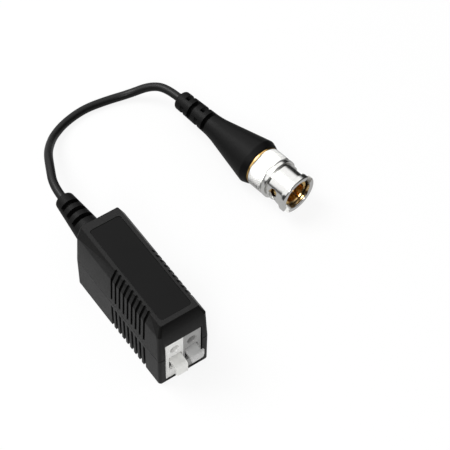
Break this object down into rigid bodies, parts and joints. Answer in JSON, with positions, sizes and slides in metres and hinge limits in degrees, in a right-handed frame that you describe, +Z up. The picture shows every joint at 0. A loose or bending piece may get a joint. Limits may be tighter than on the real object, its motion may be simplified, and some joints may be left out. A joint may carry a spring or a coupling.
{
  "type": "cctv video balun",
  "caption": "Small ribbed box with two push-lever wire clamps at one end and a short coax lead to a booted bayonet video plug at the other.",
  "frame": {"origin": "on the surface the box stands on, under the middle of the box and its two levers together", "axes": "+Z up, -Y towards the wire clamps, +Y towards the cable exit, X across the box"},
  "size_m": [0.079, 0.1066, 0.027],
  "materials": {
    "shell_black": "fine spark-eroded grain",
    "film_black": "satin film",
    "module_white": "smooth moulding",
    "module_grey": "smooth moulding",
    "lever_white": "smooth moulding",
    "lever_grey": "smooth moulding",
    "spring_steel": "rolled strip",
    "tinned_brass": "tinned",
    "board_green": "solder mask",
    "ferrite": "sintered",
    "enamelled_copper": "enamelled wire",
    "chip_ceramic": "sintered",
    "resistor_black": "glazed",
    "diode_black": "moulded epoxy",
    "soft_black": "moulded soft vinyl",
    "cable_black": "extruded soft vinyl",
    "dielectric_white": "polyethylene",
    "bare_copper": "bare wire",
    "braid_tinned": "tinned braid",
    "gold_plate": "gold plated brass",
    "nickel_plate": "nickel plated brass",
    "washer_steel": "rolled strip",
    "gasket_rubber": "silicone",
    "insulator_white": "turned plastic"
  },
  "bodies": {
    "housing": {"upper_shell": "shell_black", "lower_shell": "shell_black", "roof_film": "film_black", "clamp_module_white": "module_white", "clamp_module_grey": "module_grey", "clamp_spring_white": "spring_steel", "clamp_spring_grey": "spring_steel", "terminal_white": "tinned_brass", "terminal_grey": "tinned_brass", "circuit_board": "board_green", "transformer_core": "ferrite", "transformer_winding": "enamelled_copper", "chip_capacitors": "chip_ceramic", "chip_resistors": "resistor_black", "surge_diodes": "diode_black", "box_strain_relief": "soft_black", "cable_box_end": "cable_black", "dielectric_box_end": "dielectric_white", "conductor_box_end": "bare_copper", "braid_pigtail": "braid_tinned", "cable": "cable_black", "cable_plug_end": "cable_black", "dielectric_plug_end": "dielectric_white", "conductor_plug_end": "bare_copper", "braid_plug_end": "braid_tinned", "crimp_ferrule": "nickel_plate", "plug_boot": "soft_black", "plug_body": "gold_plate", "wave_washer": "washer_steel", "retaining_ring": "washer_steel", "plug_gasket": "gasket_rubber", "outer_contact": "gold_plate", "plug_insulator": "insulator_white", "centre_pin": "gold_plate"},
    "lever_white": {"lever_white": "lever_white"},
    "lever_grey": {"lever_grey": "lever_grey"},
    "coupling_carrier": {"thrust_washer": "washer_steel"},
    "coupling": {"coupling": "nickel_plate"}
  },
  "joints": [
    {"name": "white_lever_press", "type": "hinge", "parent": "housing", "child": "lever_white", "pos_m": [-0.0028, -0.01775, 0.0088], "axis": [1, 0, 0], "range_deg": [0, 15], "stiffness_Nm_per_rad": 0.05, "deforming": ["clamp_spring_white"]},
    {"name": "grey_lever_press", "type": "hinge", "parent": "housing", "child": "lever_grey", "pos_m": [0.0028, -0.01775, 0.0088], "axis": [1, 0, 0], "range_deg": [0, 15], "stiffness_Nm_per_rad": 0.05, "deforming": ["clamp_spring_grey"]},
    {"name": "coupling_slide", "type": "slide", "parent": "housing", "child": "coupling_carrier", "axis": [0.153, -0.9882, 0], "range_m": [0, 0.0008], "stiffness_N_per_m": 2000, "deforming": ["wave_washer"]},
    {"name": "coupling_turn", "type": "hinge", "parent": "coupling_carrier", "child": "coupling", "pos_m": [0.06188, 0.01738, 0.008], "axis": [0.153, -0.9882, 0], "continuous": true}
  ]
}
